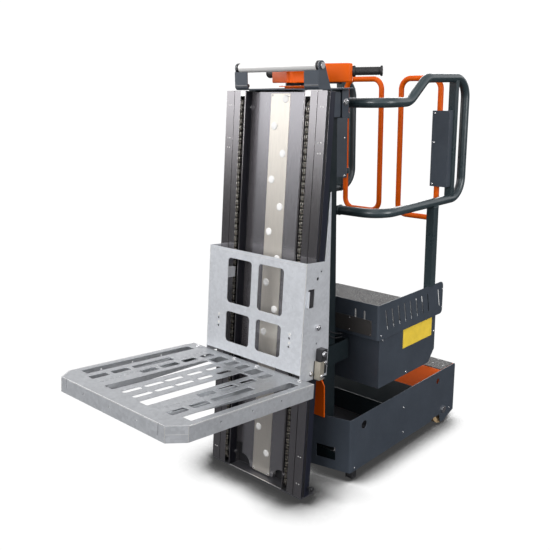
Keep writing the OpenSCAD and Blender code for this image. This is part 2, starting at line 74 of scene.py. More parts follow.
# materials --------------------------------------------------------------------
class G:
    """small helper around a node tree"""

    def __init__(self, name):
        self.m = bpy.data.materials.new(name)
        self.m.use_nodes = True
        self.t = self.m.node_tree
        self.t.nodes.clear()
        self.out = self.n("ShaderNodeOutputMaterial")
        self.b = self.n("ShaderNodeBsdfPrincipled")
        self.l(self.b.outputs[0], self.out.inputs[0])
        self.co = self.n("ShaderNodeTexCoord").outputs["Object"]
        self.normal = None

    def n(self, kind, **k):
        x = self.t.nodes.new(kind)
        for a, v in k.items():
            setattr(x, a, v)
        return x

    def l(self, a, b):
        self.t.links.new(a, b)

    def scaled(self, s):
        x = self.n("ShaderNodeMapping")
        x.inputs["Scale"].default_value = s
        self.l(self.co, x.inputs["Vector"])
        return x.outputs[0]

    def noise(self, scale, detail=3, rough=0.55, vec=None, dist=0):
        x = self.n("ShaderNodeTexNoise")
        x.inputs["Scale"].default_value = scale
        x.inputs["Detail"].default_value = detail
        x.inputs["Roughness"].default_value = rough
        x.inputs["Distortion"].default_value = dist
        self.l(vec or self.co, x.inputs["Vector"])
        return x.outputs[0]

    def voronoi(self, scale, vec=None, feature="F1", out="Distance"):
        x = self.n("ShaderNodeTexVoronoi", feature=feature)
        x.inputs["Scale"].default_value = scale
        self.l(vec or self.co, x.inputs["Vector"])
        return x.outputs[out]

    def ramp(self, fac, stops):
        x = self.n("ShaderNodeValToRGB")
        e = x.color_ramp.elements
        while len(e) < len(stops):
            e.new(0.5)
        for i, (p, c) in enumerate(stops):
            e[i].position = p
            e[i].color = (*c, 1) if len(c) == 3 else c
        self.l(fac, x.inputs[0])
        return x.outputs[0]

    def rng(self, v, a, b, c, d):
        x = self.n("ShaderNodeMapRange")
        for i, q in zip(("From Min", "From Max", "To Min", "To Max"), (a, b, c, d)):
            x.inputs[i].default_value = q
        self.l(v, x.inputs[0])
        return x.outputs[0]

    def math(self, op, a, b=None, clamp=False):
        x = self.n("ShaderNodeMath", operation=op, use_clamp=clamp)
        for i, v in enumerate((a, b)):
            if v is None:
                continue
            if isinstance(v, (int, float)):
                x.inputs[i].default_value = v
            else:
                self.l(v, x.inputs[i])
        return x.outputs[0]

    def mix(self, fac, a, b):
        x = self.n("ShaderNodeMix", data_type="RGBA")
        for s, v in ((x.inputs["Factor"], fac), (x.inputs[6], a), (x.inputs[7], b)):
            if isinstance(v, (int, float)):
                s.default_value = v
            elif isinstance(v, tuple):
                s.default_value = (*v, 1)
            else:
                self.l(v, s)
        return x.outputs[2]

    def bump(self, h, strength, dist=0.001):
        x = self.n("ShaderNodeBump")
        x.inputs["Strength"].default_value = strength
        x.inputs["Distance"].default_value = dist
        self.l(h, x.inputs["Height"])
        if self.normal is not None:
            self.l(self.normal, x.inputs["Normal"])
        self.normal = x.outputs[0]

    def bevel(self, r):
        x = self.n("ShaderNodeBevel")
        x.samples = 4
        x.inputs["Radius"].default_value = r
        self.normal = x.outputs[0]

    def edge(self, r, lo=0.985, hi=0.90):
        """0 on flats to 1 on edges, from how far the bevelled normal leans from the true one"""
        bv = self.n("ShaderNodeBevel")
        bv.samples = 4
        bv.inputs["Radius"].default_value = r
        g = self.n("ShaderNodeNewGeometry")
        d = self.n("ShaderNodeVectorMath", operation="DOT_PRODUCT")
        self.l(bv.outputs[0], d.inputs[0])
        self.l(g.outputs["Normal"], d.inputs[1])
        return self.rng(d.outputs["Value"], lo, hi, 0, 1)

    def done(self, color, rough, metallic=0.0, coat=0.0, spec=None):
        i = self.b.inputs
        if isinstance(color, tuple):
            i["Base Color"].default_value = (*color, 1)
        else:
            self.l(color, i["Base Color"])
        if isinstance(rough, (int, float)):
            i["Roughness"].default_value = rough
        else:
            self.l(rough, i["Roughness"])
        i["Metallic"].default_value = metallic
        i["Coat Weight"].default_value = coat
        i["Coat Roughness"].default_value = 0.2
        if spec is not None:
            i["Specular IOR Level"].default_value = spec
        if self.normal is not None:
            self.l(self.normal, i["Normal"])
        return self.m


def paint(name, col, rough=0.4, grain=0.25, wear=None, bev=0.0016, coat=0.0, gscale=900, vary=0.12, spec=None, dust=0.10):
    g = G(name)
    g.bevel(bev)
    big = g.noise(5.5, 4, 0.6)
    c = tuple(col)
    lo = tuple(x * (1 - vary) for x in c)
    hi = tuple(min(1, x * (1 + vary)) for x in c)
    color = g.ramp(big, [(0.3, lo), (0.7, hi)])
    dusty = g.rng(g.noise(38, 5, 0.7), 0.52, 0.78, 0, dust)
    color = g.mix(dusty, color, tuple(min(1, x * 0.7 + 0.12) for x in c))
    if wear:
        e = g.edge(0.0018)
        patch = g.rng(g.noise(60, 4, 0.7), 0.45, 0.62, 0, 1)
        k = g.math("MULTIPLY", e, patch)
        color = g.mix(g.math("MULTIPLY", k, 0.55), color, wear)
    g.bump(g.noise(gscale, 2, 0.5), grain, 0.0002)
    g.bump(g.noise(70, 2, 0.5), 0.05, 0.001)
    r = g.rng(g.noise(16, 5, 0.65), 0.3, 0.7, rough - 0.06, rough + 0.08)
    return g.done(color, r, 0, coat, spec)


# top, when given, paints shade onto faces that point up
def metal(name, col, rough, stretch=None, sscale=60, strength=0.12, spangle=0, vary=0.1, bev=0.0012, metallic=1.0, fine=0.0, dirt=None, top=None):
    g = G(name)
    g.bevel(bev)
    c = tuple(col)
    lo = tuple(x * (1 - vary) for x in c)
    hi = tuple(min(1, x * (1 + vary)) for x in c)
    if spangle:
        v = g.voronoi(spangle, out="Color")
        sep = g.n("ShaderNodeSeparateColor")
        g.l(v, sep.inputs[0])
        color = g.ramp(sep.outputs[0], [(0.0, lo), (1.0, hi)])
        cloud = g.noise(9, 5, 0.6)
        color = g.mix(g.rng(cloud, 0.4, 0.65, 0, 0.35), color, hi)
        r = g.rng(sep.outputs[1], 0, 1, rough - 0.05, rough + 0.07)
        g.bump(g.noise(300, 3, 0.6), 0.06, 0.0005)
        g.bump(g.noise(22, 3, 0.6), 0.10, 0.002)
    else:
        vec = g.scaled(stretch) if stretch else None
        st = g.noise(sscale, 4, 0.6, vec)
        color = g.ramp(st, [(0.3, lo), (0.7, hi)])
        ra = min(0.06, vary * 0.5)
        r = g.rng(st, 0.3, 0.7, rough - ra, rough + ra)
        g.bump(st, strength, 0.0004)
    if fine:
        g.bump(g.noise(700, 2), fine, 0.0002)
    if dirt:
        d = g.rng(g.noise(14, 6, 0.7), 0.5, 0.75, 0, 0.5)
        color = g.mix(d, color, dirt)
    if top:
        # painted shade: faces that point up are darkened to about half the colour, with noisy patches toward top times
        # the colour
        nz = g.n("ShaderNodeSeparateXYZ")
        g.l(g.n("ShaderNodeTexCoord").outputs["Normal"], nz.inputs[0])
        k = g.rng(nz.outputs["Z"], 0.6, 0.95, 0, 1)
        painted_top_shade = g.mix(0.5, color, (0.0, 0.0, 0.0))
        painted_top_shade = g.mix(g.rng(g.noise(7, 4, 0.6), 0.35, 0.7, 0, 0.35), painted_top_shade, tuple(x * top for x in c))
        color = g.mix(k, color, painted_top_shade)
    return g.done(color, r, metallic)


def plastic(name, col, rough=0.5, grain=0.2, gscale=600, vary=0.08, bev=0.001, dust=0.06):
    g = G(name)
    g.bevel(bev)
    c = tuple(col)
    color = g.ramp(g.noise(25, 4), [(0.3, tuple(x * (1 - vary) for x in c)), (0.7, tuple(min(1, x * (1 + vary)) for x in c))])
    color = g.mix(g.rng(g.noise(90, 5, 0.7), 0.55, 0.8, 0, dust * 4), color, tuple(min(1, x * 0.6 + 0.2) for x in c))
    g.bump(g.noise(gscale, 2), grain, 0.0002)
    return g.done(color, g.rng(g.noise(30, 4), 0.3, 0.7, rough - 0.05, rough + 0.07))


def mat_rubber():
    g = G("mat_rubber")
    g.bevel(0.001)
    sp = g.voronoi(420, out="Color")
    sep = g.n("ShaderNodeSeparateColor")
    g.l(sp, sep.inputs[0])
    color = g.ramp(sep.outputs[0], [(0.0, (0.03, 0.03, 0.032)), (0.55, (0.10, 0.10, 0.098)), (0.8, (0.2, 0.198, 0.19)), (1.0, (0.42, 0.41, 0.4))])
    g.bump(g.voronoi(420), 0.5, 0.0006)
    g.bump(g.noise(120, 4), 0.2, 0.001)
    return g.done(color, 0.78)


SLATE = (0.046, 0.057, 0.073)
TEAL = (0.030, 0.046, 0.052)
ORANGE = (0.74, 0.105, 0.0006)
MAT = {
    "slate": paint("slate_paint", SLATE, 0.40, 0.35, wear=(0.22, 0.24, 0.26)),
    "teal": paint("tube_paint", TEAL, 0.30, 0.08, wear=(0.16, 0.2, 0.22), coat=0.15),
    "orange": paint("orange_paint", ORANGE, 0.38, 0.10, wear=(0.85, 0.22, 0.02), coat=0.0, vary=0.05, spec=0.18, dust=0.0),
    # dark paint of the outer mast and carriage, darkened further to near black as painted shade for the gap between
    # mast and box
    "mast_dark": paint("mast_dark_paint_and_shade", (0.011, 0.017, 0.020), 0.35, 0.10, wear=(0.06, 0.07, 0.08), spec=0.3),
    # painted shade for the inside of the base
    "liner": paint("base_interior_shade", (0.008, 0.014, 0.017), 0.42, 0.10, spec=0.3, dust=0.02),
    # painted shade for the channel walls
    "wall": metal("wall_shade_film", (0.012, 0.012, 0.017), 0.30, (1, 1, 0.02), 380, 0.04, vary=0.08, metallic=0.1),
    "cap": plastic("cap_grey", (0.87, 0.86, 0.845), 0.4, 0.05, dust=0.02),
    # painted highlight: lighter, glossier grey than the slate, for the bracket bends
    "bend": metal("bend_sheen", (0.20, 0.20, 0.205), 0.24, (0.05, 1, 1), 200, 0.05, vary=0.1, metallic=0.7),
    "zinc": metal("zinc_beige", (0.50, 0.46, 0.38), 0.35, None, 60, 0.08, vary=0.12, metallic=0.6),
    "plate": metal("chain_plates", (0.52, 0.50, 0.46), 0.28, None, 90, 0.05, vary=0.12),
    "galv": metal("galvanised_sheet", (0.66, 0.68, 0.71), 0.40, spangle=85, vary=0.06, metallic=0.45),
    # tray sheet: painted shade on the faces that point up
    "galv_top": metal("galvanised_tray", (0.66, 0.68, 0.705), 0.34, spangle=85, vary=0.07, metallic=0.6, top=0.42),
    "alu": metal("rail_dark_satin", (0.40, 0.385, 0.395), 0.14, (1, 1, 0.02), 380, 0.06, vary=0.05, metallic=0.92),
    # partly the roller's bright steel, partly painted highlight: near-white and weakly metallic so the whole tube
    # reads bright
    "roller": metal("roller_tube_highlight", (0.94, 0.93, 0.91), 0.30, (0.02, 1, 1), 300, 0.04, vary=0.04, metallic=0.35),
    # light silver: bright parts, and painted highlight on rims, bends and edge lines
    "silver": metal("silver_strip_and_edge_highlight", (0.84, 0.83, 0.81), 0.30, (1, 1, 0.02), 380, 0.05, vary=0.05, metallic=0.65),
    # painted shade for the rail side faces
    "navy": metal("rail_side_shade_film", (0.012, 0.014, 0.025), 0.34, (1, 1, 0.02), 380, 0.04, vary=0.08, metallic=0.1),
    "panel": metal("centre_panel_dark", (0.42, 0.41, 0.43), 0.22, (1, 1, 0.02), 380, 0.05, vary=0.06, metallic=0.85),
    # painted highlight: light metallic grey for bright bends of slate sheet
    "slate_bright": metal("bend_highlight_grey", (0.55, 0.55, 0.56), 0.25, (0.05, 1, 1), 200, 0.05, vary=0.1, metallic=0.8),
    # near-black for painted shade in grooves and openings
    "groove": plastic("groove_shade_black", (0.008, 0.008, 0.01), 0.5, 0.05),
    "steel": metal("brushed_steel", (0.86, 0.81, 0.73), 0.30, (1, 1, 0.03), 160, 0.002, vary=0.03, metallic=0.8),
    "bright": metal("bright_steel", (0.74, 0.74, 0.75), 0.22, None, 40, 0.05, vary=0.06),
    "dark": metal("dark_steel", (0.10, 0.10, 0.11), 0.45, None, 60, 0.1, vary=0.15, metallic=0.6),
    "chain": metal("oiled_chain", (0.085, 0.078, 0.07), 0.36, None, 120, 0.1, vary=0.2, metallic=0.85, dirt=(0.02, 0.018, 0.015)),
    "mat": mat_rubber(),
    "black": plastic("black_plastic", (0.018, 0.018, 0.02), 0.45),
    "rubber": plastic("black_rubber", (0.014, 0.014, 0.015), 0.62, 0.35, 300),
    "white": plastic("white_plastic", (0.80, 0.80, 0.79), 0.35, 0.05),
    "tan": plastic("tan_tread", (0.50, 0.36, 0.20), 0.5, 0.2, 300, 0.12),
    "yellow": plastic("yellow_panel", (0.93, 0.66, 0.06), 0.45, 0.05),
    "bronze": paint("info_plate", (0.05, 0.047, 0.045), 0.45, 0.1),
}
NODE_MAT = {
    "orange": "chassis_frame steering_base gate_right gate_left handlebar",
    "slate": "side_panel_right side_panel_left platform_box platform_deck toe_guard rail_clamps head_plate hinge_covers",
    "teal": "guard_rail_right guard_rail_left",
    "mast_dark": "outer_mast carriage_frame",
    "dark": "floor_pan drive_motors mast_foot_plate sprocket_top_right sprocket_top_left sprocket_bottom_right sprocket_bottom_left blank_plates chain_sheave",
    "black": "tray_lock_block battery_pack lift_cylinder caster_fork_right caster_fork_left",
    "chain": "tray_chains lift_chain",
    "bright": "lift_rod panel_screws cage_screws rear_axles sprocket_pins roller_axle tray_pins inner_mast tray_bolts",
    "alu": "mast_rail_right mast_rail_left",
    "panel": "centre_panel",
    "roller": "top_roller",
    "steel": "face_plate",
    "galv": "tray_apron",
    "galv_top": "load_tray",
    "mat": "platform_mat rear_deck_mat",
    "white": "plate_caps latch_plunger inner_slides carriage_slides",
    "tan": "rear_wheel_right rear_wheel_left",
    "rubber": "caster_wheel_right caster_wheel_left handle_grips",
}


def put(o, *mats):
    o.data.materials.clear()
    for m in mats:
        o.data.materials.append(MAT[m])


for key, names in NODE_MAT.items():
    for n in names.split():
        if n in NODES:
            put(NODES[n], key)


# floor and light -------------------------------------------------------------
def make_stage():
    me = bpy.data.meshes.new("floor")
    bm = bmesh.new()
    bmesh.ops.create_grid(bm, x_segments=2, y_segments=2, size=30)
    bm.to_mesh(me)
    bm.free()
    o = bpy.data.objects.new("floor", me)
    bpy.context.scene.collection.objects.link(o)
    # pale plain floor for the eye, with a soft contact shadow; a dim one for what it lights and mirrors
    g = G("floor_white")
    lp = g.n("ShaderNodeLightPath")
    dim = g.n("ShaderNodeBsdfDiffuse")
    dim.inputs[0].default_value = (0.075, 0.075, 0.08, 1)
    ao = g.n("ShaderNodeAmbientOcclusion")
    ao.samples = 12
    ao.inputs["Distance"].default_value = 0.20
    front = g.ramp(ao.outputs["AO"], [(0.68, (0.05, 0.05, 0.05)), (0.80, (0.085, 0.085, 0.085)), (0.87, (0.28, 0.28, 0.28)), (0.92, (0.72, 0.72, 0.72)), (0.965, (1, 1, 1))])
    rear = g.ramp(ao.outputs["AO"], [(0.46, (0.05, 0.05, 0.05)), (0.56, (0.085, 0.085, 0.085)), (0.65, (0.28, 0.28, 0.28)), (0.73, (0.72, 0.72, 0.72)), (0.82, (1, 1, 1))])
    sep = g.n("ShaderNodeSeparateXYZ")
    g.l(g.n("ShaderNodeNewGeometry").outputs["Position"], sep.inputs[0])
    shade = g.mix(g.rng(sep.outputs["Y"], -0.09, 0.06, 0, 1), front, rear)
    add = g.n("ShaderNodeEmission")
    g.l(shade, add.inputs[0])
    add.inputs[1].default_value = 1.03
    mx = g.n("ShaderNodeMixShader")
    g.l(lp.outputs["Is Camera Ray"], mx.inputs[0])
    g.l(dim.outputs[0], mx.inputs[1])
    g.l(add.outputs[0], mx.inputs[2])
    g.l(mx.outputs[0], g.out.inputs[0])
    o.data.materials.append(g.m)
    w = bpy.data.worlds.new("world")
    w.use_nodes = True
    t = w.node_tree
    bg = t.nodes["Background"]
    co = t.nodes.new("ShaderNodeTexCoord")
    sep = t.nodes.new("ShaderNodeSeparateXYZ")
    rp = t.nodes.new("ShaderNodeValToRGB")
    lp = t.nodes.new("ShaderNodeLightPath")
    mx = t.nodes.new("ShaderNodeMix")
    mx.data_type = "RGBA"
    t.links.new(co.outputs["Generated"], sep.inputs[0])
    t.links.new(sep.outputs["Z"], rp.inputs[0])
    e = rp.color_ramp.elements
    for k, (pp, v) in enumerate(((0.0, 0.05), (0.045, 0.30), (0.12, 1.0), (0.40, 0.62), (0.85, 0.25))):
        if k > 1:
            e.new(0.5)
    for k, (pp, v) in enumerate(((0.0, 0.05), (0.045, 0.30), (0.12, 1.0), (0.40, 0.62), (0.85, 0.25))):
        e[k].position = pp
        e[k].color = (v, v, v * 1.02, 1)
    soft = t.nodes.new("ShaderNodeMix")
    soft.data_type = "RGBA"
    t.links.new(lp.outputs["Is Glossy Ray"], soft.inputs["Factor"])
    soft.inputs[6].default_value = (0.37, 0.37, 0.38, 1)
    t.links.new(rp.outputs[0], soft.inputs[7])
    t.links.new(lp.outputs["Is Camera Ray"], mx.inputs["Factor"])
    t.links.new(soft.outputs[2], mx.inputs[6])
    mx.inputs[7].default_value = (0.6, 0.6, 0.6, 1)
    t.links.new(mx.outputs[2], bg.inputs[0])
    bg.inputs[1].default_value = 1.75
    bpy.context.scene.world = w
    for name, pos, size, power, aim in (
        ("key", (0.6, -4.2, 2.6), (2.6, 1.8), 120, (0, 0, 0.9)),
        ("fill_right", (4.4, 0.4, 2.2), (1.8, 2.4), 86, (0, 0, 0.8)),
        ("left", (-4.0, -1.8, 2.4), (1.4, 2.4), 42, (0, 0, 0.8)),
        ("back", (-1.5, 4.0, 2.6), (2.4, 1.6), 52, (0, 0, 0.9)),
        ("top", (0.4, -0.4, 4.6), (1.6, 1.6), 24, (0, 0, 0)),
    ):
        li = bpy.data.lights.new(name, "AREA")
        li.shape = "RECTANGLE"
        li.size, li.size_y = size
        li.energy = power
        ob = bpy.data.objects.new(name, li)
        ob.location = pos
        ob.rotation_euler = (Vector(aim) - Vector(pos)).to_track_quat("-Z", "Y").to_euler()
        bpy.context.scene.collection.objects.link(ob)


make_stage()
bpy.context.scene.view_settings.view_transform = "Standard"

# pieces -----------------------------------------------------------------------
def finish_piece(bm, name, body, mats, smooth=35, bevel=0, segs=2, xf=None):
    """closes a bmesh into an object that rides on a body"""
    if xf is not None:
        bmesh.ops.transform(bm, matrix=xf, verts=bm.verts)
    bmesh.ops.recalc_face_normals(bm, faces=bm.faces)
    me = bpy.data.meshes.new(name)
    bm.to_mesh(me)
    bm.free()
    o = bpy.data.objects.new(name, me)
    bpy.context.scene.collection.objects.link(o)
    for m in ([mats] if isinstance(mats, str) else mats):
        me.materials.append(MAT[m])
    if smooth:
        for f in me.polygons:
            f.use_smooth = True
        me.set_sharp_from_angle(angle=math.radians(smooth))
    if bevel:
        b = o.modifiers.new("bevel", "BEVEL")
        b.width = bevel
        b.segments = segs
        b.limit_method = "ANGLE"
        b.angle_limit = math.radians(40)
        b.harden_normals = False
    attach(o, body)
    return o


def B():
    return bmesh.new()


def add_box(bm, x0, x1, y0, y1, z0, z1, f=P, mi=0):
    v = [bm.verts.new(f(x, y, z)) for x in (x0, x1) for y in (y0, y1) for z in (z0, z1)]
    for q in ((0, 1, 3, 2), (4, 6, 7, 5), (0, 4, 5, 1), (2, 3, 7, 6), (0, 2, 6, 4), (1, 5, 7, 3)):
        bm.faces.new([v[k] for k in q]).material_index = mi


def add_prism(bm, pts, a, b, f, mi=0):
    """pts: list of 2D points, f(u, v, h) gives the row position"""
    lo = [bm.verts.new(f(u, v, a)) for u, v in pts]
    hi = [bm.verts.new(f(u, v, b)) for u, v in pts]
    n = len(pts)
    bm.faces.new(lo).material_index = mi
    bm.faces.new(hi[::-1]).material_index = mi
    for k in range(n):
        bm.faces.new((lo[k], lo[(k + 1) % n], hi[(k + 1) % n], hi[k])).material_index = mi


def lathe(bm, prof, n, f, mi=0, caps=True):
    """prof: [(r, h)], f(x, y, h) gives the row position"""
    rings = []
    for r, h in prof:
        rings.append([bm.verts.new(f(r * math.cos(2 * math.pi * k / n), r * math.sin(2 * math.pi * k / n), h)) for k in range(n)])
    for a, b in zip(rings, rings[1:]):
        for k in range(n):
            bm.faces.new((a[k], a[(k + 1) % n], b[(k + 1) % n], b[k])).material_index = mi
    if caps:
        bm.faces.new(rings[0]).material_index = mi
        bm.faces.new(rings[-1][::-1]).material_index = mi


def frame_fn(origin, axis, up=(0, 0, 1)):
    """millimetre coordinates around an axis that starts at origin (row metres)"""
    a = Vector(axis).normalized()
    u = Vector(up)
    if abs(a.dot(u.normalized())) > 0.95:
        u = Vector((1, 0, 0))
    u = (u - a * u.dot(a)).normalized()
    w = a.cross(u)
    o = Vector(origin)
    return lambda x, y, h: o + u * (x / 1000) + w * (y / 1000) + a * (h / 1000)


def hex_bolt(bm, origin, axis, af=10, h=4, washer=None, mi=0, turn=0.0):
    """hexagon head with a chamfered top and a washer; af is the corner radius in mm"""
    f = frame_fn(origin, axis)
    t = 0
    if washer:
        lathe(bm, [(washer, 0), (washer, 1.2), (washer - 0.4, 1.6)], 24, f, mi)
        t = 1.6
    n = 6
    rings = []
    for r, z in ((af, t), (af, t + h * 0.8), (af * 0.86, t + h)):
        rings.append([bm.verts.new(f(r * math.cos(math.pi * k / 3 + turn), r * math.sin(math.pi * k / 3 + turn), z)) for k in range(n)])
    for a, b in zip(rings, rings[1:]):
        for k in range(n):
            bm.faces.new((a[k], a[(k + 1) % n], b[(k + 1) % n], b[k])).material_index = mi
    bm.faces.new(rings[-1]).material_index = mi
    bm.faces.new(rings[0][::-1]).material_index = mi


def button_screw(bm, origin, axis, r=5, h=2.4, mi=0):
    """domed socket screw with a round recess"""
    f = frame_fn(origin, axis)
    prof = [(r, 0), (r * 0.98, h * 0.35), (r * 0.86, h * 0.75), (r * 0.62, h), (r * 0.45, h)]
    n = 18
    rings = [[bm.verts.new(f(q * math.cos(2 * math.pi * k / n), q * math.sin(2 * math.pi * k / n), z)) for k in range(n)] for q, z in prof]
    for a, b in zip(rings, rings[1:]):
        for k in range(n):
            bm.faces.new((a[k], a[(k + 1) % n], b[(k + 1) % n], b[k])).material_index = mi
    bottom = [bm.verts.new(f(r * 0.42 * math.cos(2 * math.pi * k / n), r * 0.42 * math.sin(2 * math.pi * k / n), h * 0.35)) for k in range(n)]
    for k in range(n):
        bm.faces.new((rings[-1][k], rings[-1][(k + 1) % n], bottom[(k + 1) % n], bottom[k])).material_index = mi
    bm.faces.new(bottom).material_index = mi
    bm.faces.new(rings[0][::-1]).material_index = mi


def sweep(bm, pts, r, n=12, mi=0, closed=False, caps=True):
    """round tube along row points (metres); r in metres"""
    pts = [Vector(p) for p in pts]
    m = len(pts)
    prev = None
    rings = []
    for i, p in enumerate(pts):
        if closed:
            d = (pts[(i + 1) % m] - pts[i - 1]).normalized()
        else:
            d = (pts[min(i + 1, m - 1)] - pts[max(i - 1, 0)]).normalized()
        if prev is None:
            u = d.orthogonal().normalized()
        else:
            u = (prev - d * prev.dot(d)).normalized()
        prev = u
        w = d.cross(u)
        rings.append([bm.verts.new(p + (u * math.cos(2 * math.pi * k / n) + w * math.sin(2 * math.pi * k / n)) * r) for k in range(n)])
    seq = list(zip(rings, rings[1:])) + ([(rings[-1], rings[0])] if closed else [])
    for a, b in seq:
        for k in range(n):
            bm.faces.new((a[k], a[(k + 1) % n], b[(k + 1) % n], b[k])).material_index = mi
    if caps and not closed:
        bm.faces.new(rings[0][::-1]).material_index = mi
        bm.faces.new(rings[-1]).material_index = mi


def weld_ring(bm, centre, axis, r, bead=0.0035, n=60, mi=0, seed=0, a0=0.0, a1=2 * math.pi):
    """lumpy fillet bead around a tube joint"""
    f = frame_fn(centre, axis)
    full = abs(a1 - a0 - 2 * math.pi) < 1e-6
    pts = []
    for k in range(n if full else n + 1):
        t = a0 + (a1 - a0) * k / n
        q = r * 1000 + 0.35 * math.sin(t * 23 + seed) + 0.2 * math.sin(t * 41 + 2 * seed)
        pts.append(f(q * math.cos(t), q * math.sin(t), 0.3 * math.sin(t * 17 + seed)))
    sweep(bm, pts, bead, 8, mi, closed=full)


def weld_line(bm, a, b, bead=0.0028, step=0.004, mi=0, seed=0):
    a, b = Vector(a), Vector(b)
    n = max(4, int((b - a).length / step))
    d = (b - a).normalized()
    o = d.orthogonal().normalized()
    pts = [a.lerp(b, k / n) + o * (0.0005 * math.sin(k * 1.9 + seed)) for k in range(n + 1)]
    sweep(bm, pts, bead, 8, mi)


# roller chains of the tray lift --------------------------------------------------
MAST_H = 1658
SPR = 38


def chain_point(t, n_straight=118, n_arc=9, r=37.5):
    """position and tangent of pin number t along the loop, in mast (y, z)"""
    z0, z1 = 52, MAST_H - 66
    step = (z1 - z0) / n_straight
    total = 2 * (n_straight + n_arc)
    t = t % total
    if t < n_straight:
        return SPR - r, z0 + t * step
    t -= n_straight
    if t < n_arc:
        a = math.pi * t / n_arc
        return SPR - r * math.cos(a), z1 + r * math.sin(a)
    t -= n_arc
    if t < n_straight:
        return SPR + r, z1 - t * step
    t -= n_straight
    a = math.pi * t / n_arc
    return SPR + r * math.cos(a), z0 - r * math.sin(a)


def make_chain(side):
    bm = B()
    total = 2 * (118 + 9)
    xc = 182 * side
    for k in range(total):
        y0, z0 = chain_point(k)
        y1, z1 = chain_point(k + 1)
        wide = k % 2
        d = math.hypot(y1 - y0, z1 - z0)
        uy, uz = (y1 - y0) / d, (z1 - z0) / d
        ny, nz = -uz, uy
        out = []
        for i in range(5):
            a = -math.pi / 2 + math.pi * i / 4
            out.append((d + 4.6 * math.cos(a), 4.6 * math.sin(a)))
        for i in range(5):
            a = math.pi / 2 + math.pi * i / 4
            out.append((4.6 * math.cos(a), 4.6 * math.sin(a)))

        def f(u, v, h):
            return M(xc + h, y0 + u * uy + v * ny, z0 + u * uz + v * nz)

        a = 5.2 if wide else 3.7
        for s in (-1, 1):
            lo, hi = sorted((s * a, s * (a - 1.3)))
            add_prism(bm, out, lo, hi, f, 2 if wide else 0)
        g = lambda x, y, h: M(xc + h, y0 + x, z0 + y)
        lathe(bm, [(3.2, -2.3), (3.2, 2.3)], 10, g, 1, caps=False)
        lathe(bm, [(1.7, -6.0), (1.7, 6.0)], 8, g, 1)
    return finish_piece(bm, "chain_links_" + ("right" if side > 0 else "left"), "cage", ["chain", "pin", "plate"], 40)


def make_sprocket(side, top):
    body = "sprocket_%s_%s" % ("top" if top else "bottom", "right" if side > 0 else "left")
    zc = MAST_H - 66 if top else 52
    f = lambda x, y, h: M(side * (182 + h), SPR + x, zc + y)
    bm = B()
    teeth = 18
    prof = []
    for k in range(teeth):
        a = 2 * math.pi * (k + 0.5) / teeth
        for da, r in ((-0.5, 33.6), (-0.30, 34.4), (-0.16, 37.6), (-0.07, 39.8), (0.07, 39.8), (0.16, 37.6), (0.30, 34.4)):
            t = a + da * 2 * math.pi / teeth
            prof.append((r * math.cos(t), r * math.sin(t)))
    n = len(prof)
    inner = [(9.05 * math.cos(2 * math.pi * k / n - math.pi / teeth + 2 * math.pi / teeth * 0.5), 9.05 * math.sin(2 * math.pi * k / n - math.pi / teeth + 2 * math.pi / teeth * 0.5)) for k in range(n)]
    rings = []
    for ring, h in ((inner, -2.6), (prof, -2.6), (prof, 2.6), (inner, 2.6)):
        rings.append([bm.verts.new(f(u, v, h)) for u, v in ring])
    for i in range(4):
        a, b = rings[i], rings[(i + 1) % 4]
        for k in range(n):
            bm.faces.new((a[k], a[(k + 1) % n], b[(k + 1) % n], b[k]))
    for h0, h1, r in ((-10, -2.6, 17), (2.6, 10, 17)):
        ring = [(9.05, h0), (r - 1, h0), (r, h0 + 1), (r, h1 - 0.5), (r, h1), (9.05, h1)]
        m = 32
        rr = [[bm.verts.new(f(q * math.cos(2 * math.pi * k / m), q * math.sin(2 * math.pi * k / m), z)) for k in range(m)] for q, z in ring]
        for i in range(len(rr)):
            a, b = rr[i], rr[(i + 1) % len(rr)]
            for k in range(m):
                bm.faces.new((a[k], a[(k + 1) % m], b[(k + 1) % m], b[k]))
    o = finish_piece(bm, body + "_teeth", body, "bright", 30)
    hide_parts(body)


MAT["pin"] = metal("chain_pins", (0.42, 0.37, 0.30), 0.3, None, 60, 0.05, vary=0.12)
for s_ in (1, -1):
    c_ = make_chain(s_)
    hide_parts("tray_chains")
    for t_ in (True, False):
        make_sprocket(s_, t_)


def M_axis(x, y, z):
    """direction in the leaning mast frame"""
    return (M(x, y, z) - M(0, 0, 0)).normalized()


# tray ---------------------------------------------------------------------------
TZ = 542
TOP = M_axis(0, 0, 1)
# painted highlight: the rolled rim of the tray in a lighter silver than the tray sheet
bm = B()
edge = [(-356, -70), (-356, -705), (-310, -767), (-276.6, -767)], [(-273.4, -767), (273.4, -767)], [(276.6, -767), (310, -767), (356, -705), (356, -70)]
for run in edge:
    pts = []
    for k, (x, y) in enumerate(run):
        ix = 2.3 if x > 300 else (-2.3 if x < -300 else 0)
        pts.append(M(x - ix, y + (2.3 if y < -600 else 0), TZ - 2.35))
    fine = []
    for a, b in zip(pts, pts[1:]):
        n = max(2, int((b - a).length / 0.06))
        for q in range(n):
            fine.append(a.lerp(b, q / n))
    fine.append(pts[-1])
    sweep(bm, fine, 0.0026, 12)
finish_piece(bm, "tray_rolled_edge_highlight", "tray", "silver", 60)
bm = B()
for s_ in (-1, 1):
    for k in range(24):
        t = (k + 0.5) / 24
        x, y = s_ * (172 + 53 * t), -690 + 590 * t
        f = frame_fn(M(x, y, TZ), TOP)
        lathe(bm, [(8.5, -0.2), (8.0, 0.35), (6.0, 0.75), (4.6, 0.5), (2.6, 0.2)], 20, f)
finish_piece(bm, "tray_spot_welds", "tray", "galv_top", 60)
bm = B()
